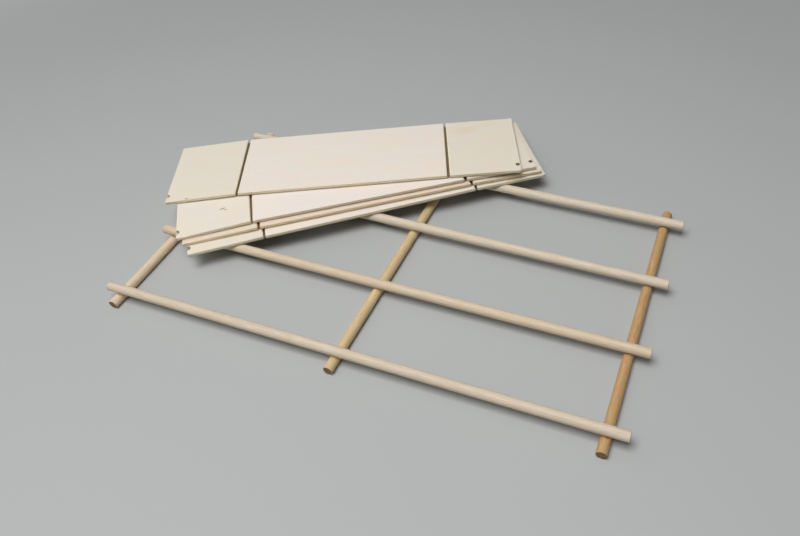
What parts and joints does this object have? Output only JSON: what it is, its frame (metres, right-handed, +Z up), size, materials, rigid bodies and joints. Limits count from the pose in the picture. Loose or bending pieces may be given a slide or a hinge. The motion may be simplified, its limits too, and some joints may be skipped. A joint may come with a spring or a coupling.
{
  "type": "lap loom",
  "caption": "Flat grid of round wooden dowels, long ones pegged across short ones, with a loose fan of hinged three-leaf plywood boards stacked on its back corner.",
  "frame": {"origin": "middle of the object's outline, on the table", "axes": "+X along the long dowels to the right, +Y to the back, +Z up"},
  "size_m": [0.7106, 0.4764, 0.048],
  "materials": {
    "pale_dowel": "bare sanded softwood, pale beige",
    "golden_dowel": "bare sanded wood, golden tan with fine lengthwise grain",
    "peg": "bare hardwood",
    "plywood": "bare sanded plywood, cream faces and tan layered edges",
    "hinge_leather": "dark brown, matte"
  },
  "bodies": {
    "dowel_grid": {"long_dowel_1": "pale_dowel", "long_dowel_2": "pale_dowel", "long_dowel_3": "pale_dowel", "long_dowel_4": "pale_dowel", "left_cross_dowel": "golden_dowel", "middle_cross_dowel": "golden_dowel", "right_cross_dowel": "golden_dowel", "crossing_pegs": "peg"},
    "bottom_board": {"bottom_board_centre": "plywood", "bottom_board_left_hinge_strip": "hinge_leather", "bottom_board_right_hinge_strip": "hinge_leather"},
    "third_board": {"third_board_centre": "plywood", "third_board_left_hinge_strip": "hinge_leather", "third_board_right_hinge_strip": "hinge_leather"},
    "second_board": {"second_board_centre": "plywood", "second_board_left_hinge_strip": "hinge_leather", "second_board_right_hinge_strip": "hinge_leather"},
    "top_board": {"top_board_centre": "plywood", "top_board_left_hinge_strip": "hinge_leather", "top_board_right_hinge_strip": "hinge_leather"},
    "top_board_left_flap": {"top_board_left_flap": "plywood"},
    "top_board_right_flap": {"top_board_right_flap": "plywood"},
    "second_board_left_flap": {"second_board_left_flap": "plywood"},
    "second_board_right_flap": {"second_board_right_flap": "plywood"},
    "third_board_left_flap": {"third_board_left_flap": "plywood"},
    "third_board_right_flap": {"third_board_right_flap": "plywood"},
    "bottom_board_left_flap": {"bottom_board_left_flap": "plywood"},
    "bottom_board_right_flap": {"bottom_board_right_flap": "plywood"}
  },
  "joints": [
    {"name": "bottom_board_lift", "type": "slide", "parent": "dowel_grid", "child": "bottom_board", "axis": [0, 0, 1], "range_m": [0, 0.12]},
    {"name": "third_board_lift", "type": "slide", "parent": "bottom_board", "child": "third_board", "axis": [0, 0, 1], "range_m": [0, 0.12]},
    {"name": "second_board_lift", "type": "slide", "parent": "third_board", "child": "second_board", "axis": [0, 0, 1], "range_m": [0, 0.12]},
    {"name": "top_board_lift", "type": "slide", "parent": "second_board", "child": "top_board", "axis": [0, 0, 1], "range_m": [0, 0.12]},
    {"name": "top_board_left_fold", "type": "hinge", "parent": "top_board", "child": "top_board_left_flap", "pos_m": [-0.24049, 0.00963, 0.0429], "axis": [-0.4195, 0.9078, 0], "range_deg": [0, 40], "deforming": ["top_board_left_hinge_strip"]},
    {"name": "top_board_right_fold", "type": "hinge", "parent": "top_board", "child": "top_board_right_flap", "pos_m": [0.02004, 0.13002, 0.0429], "axis": [0.4195, -0.9078, 0], "range_deg": [0, 40], "deforming": ["top_board_right_hinge_strip"]},
    {"name": "second_board_left_fold", "type": "hinge", "parent": "second_board", "child": "second_board_left_flap", "pos_m": [-0.20335, -0.03166, 0.0369], "axis": [-0.5678, 0.8231, 0], "range_deg": [0, 1.2], "deforming": ["second_board_left_hinge_strip"]},
    {"name": "second_board_right_fold", "type": "hinge", "parent": "second_board", "child": "second_board_right_flap", "pos_m": [0.03289, 0.13131, 0.0369], "axis": [0.5678, -0.8231, 0], "range_deg": [0, 26], "deforming": ["second_board_right_hinge_strip"]},
    {"name": "third_board_left_fold", "type": "hinge", "parent": "third_board", "child": "third_board_left_flap", "pos_m": [-0.19334, -0.0341, 0.0309], "axis": [-0.5779, 0.8161, 0], "range_deg": [0, 0.8], "deforming": ["third_board_left_hinge_strip"]},
    {"name": "third_board_right_fold", "type": "hinge", "parent": "third_board", "child": "third_board_right_flap", "pos_m": [0.04089, 0.13175, 0.0309], "axis": [0.5779, -0.8161, 0], "range_deg": [0, 16], "deforming": ["third_board_right_hinge_strip"]},
    {"name": "bottom_board_left_fold", "type": "hinge", "parent": "bottom_board", "child": "bottom_board_left_flap", "pos_m": [-0.18283, -0.04303, 0.0249], "axis": [-0.6018, 0.7986, 0], "range_deg": [0, 0.4], "deforming": ["bottom_board_left_hinge_strip"]},
    {"name": "bottom_board_right_fold", "type": "hinge", "parent": "bottom_board", "child": "bottom_board_right_flap", "pos_m": [0.04638, 0.12969, 0.0249], "axis": [0.6018, -0.7986, 0], "range_deg": [0, 8], "deforming": ["bottom_board_right_hinge_strip"]}
  ],
  "couplings": [
    {"joint": "second_board_left_fold", "follows": "top_board_left_fold", "ratio": 0.03},
    {"joint": "second_board_right_fold", "follows": "top_board_right_fold", "ratio": 0.65},
    {"joint": "third_board_left_fold", "follows": "top_board_left_fold", "ratio": 0.02},
    {"joint": "third_board_right_fold", "follows": "top_board_right_fold", "ratio": 0.4},
    {"joint": "bottom_board_left_fold", "follows": "top_board_left_fold", "ratio": 0.01},
    {"joint": "bottom_board_right_fold", "follows": "top_board_right_fold", "ratio": 0.2}
  ]
}
